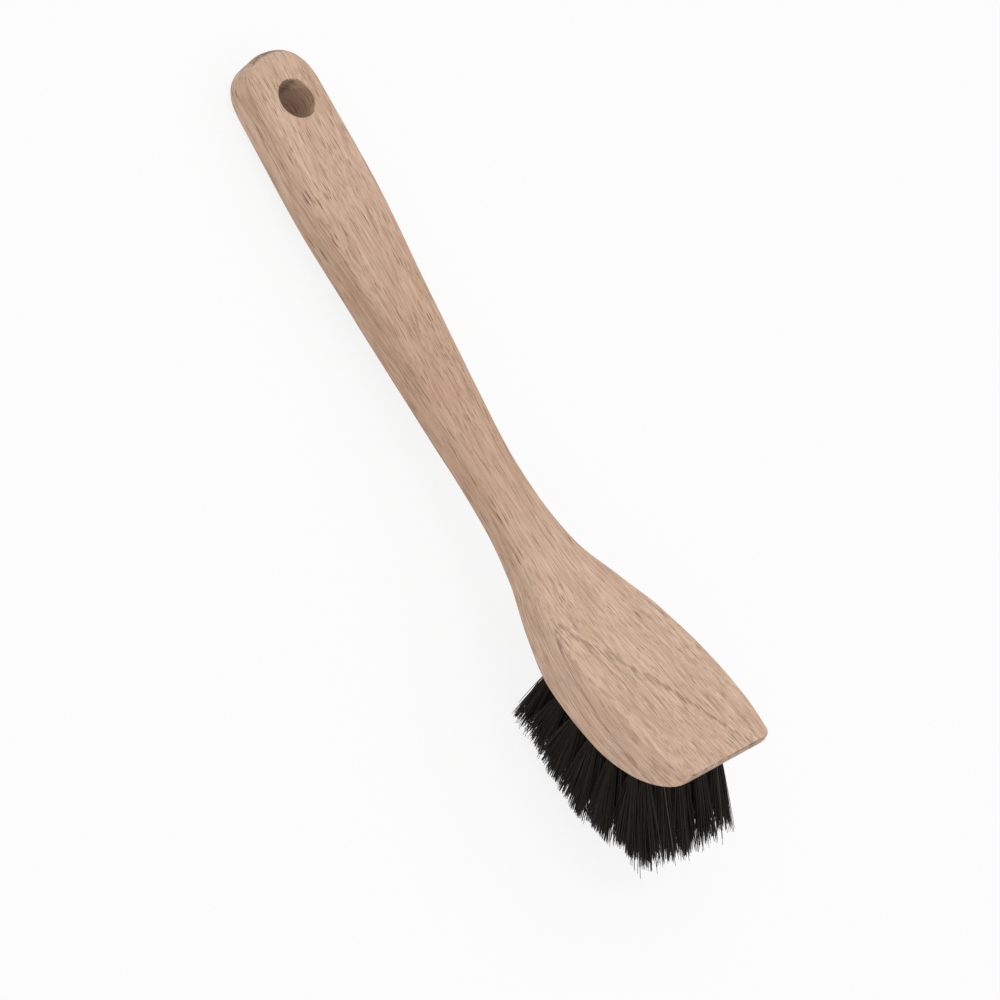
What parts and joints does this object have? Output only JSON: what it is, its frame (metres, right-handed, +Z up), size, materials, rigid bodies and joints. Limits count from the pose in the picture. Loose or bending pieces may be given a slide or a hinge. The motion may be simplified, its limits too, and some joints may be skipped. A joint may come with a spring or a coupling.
{
  "type": "dish brush",
  "caption": "Wooden dish brush: a bent handle with a hanging hole widens into a head whose curved underside is set with tufts of dark bristle for scrubbing dishes and pans.",
  "frame": {"origin": "On the table that the brush lies on, under the middle of its bounding box in plan.", "axes": "+X runs from the hanging end towards the toe of the head, +Z is up with the bristles below the head, and XZ is the plane of symmetry."},
  "size_m": [0.2584, 0.043, 0.0561],
  "materials": {
    "beech": "bare, finely sanded",
    "horsehair": "natural near-black hair",
    "anchor_wire": "drawn flat wire"
  },
  "bodies": {
    "root": {"handle": "beech", "tuft_01": "horsehair", "tuft_02": "horsehair", "tuft_03": "horsehair", "tuft_04": "horsehair", "tuft_05": "horsehair", "tuft_06": "horsehair", "tuft_07": "horsehair", "tuft_08": "horsehair", "tuft_09": "horsehair", "tuft_10": "horsehair", "tuft_11": "horsehair", "tuft_12": "horsehair", "tuft_13": "horsehair", "tuft_14": "horsehair", "tuft_15": "horsehair", "tuft_16": "horsehair", "tuft_17": "horsehair", "tuft_18": "horsehair", "tuft_19": "horsehair", "tuft_20": "horsehair", "tuft_21": "horsehair", "tuft_22": "horsehair", "tuft_23": "horsehair", "tuft_24": "horsehair", "tuft_25": "horsehair", "tuft_26": "horsehair", "tuft_27": "horsehair", "tuft_28": "horsehair", "tuft_29": "horsehair", "anchor_01": "anchor_wire", "anchor_02": "anchor_wire", "anchor_03": "anchor_wire", "anchor_04": "anchor_wire", "anchor_05": "anchor_wire", "anchor_06": "anchor_wire", "anchor_07": "anchor_wire", "anchor_08": "anchor_wire", "anchor_09": "anchor_wire", "anchor_10": "anchor_wire", "anchor_11": "anchor_wire", "anchor_12": "anchor_wire", "anchor_13": "anchor_wire", "anchor_14": "anchor_wire", "anchor_15": "anchor_wire", "anchor_16": "anchor_wire", "anchor_17": "anchor_wire", "anchor_18": "anchor_wire", "anchor_19": "anchor_wire", "anchor_20": "anchor_wire", "anchor_21": "anchor_wire", "anchor_22": "anchor_wire", "anchor_23": "anchor_wire", "anchor_24": "anchor_wire", "anchor_25": "anchor_wire", "anchor_26": "anchor_wire", "anchor_27": "anchor_wire", "anchor_28": "anchor_wire", "anchor_29": "anchor_wire"}
  },
  "joints": []
}
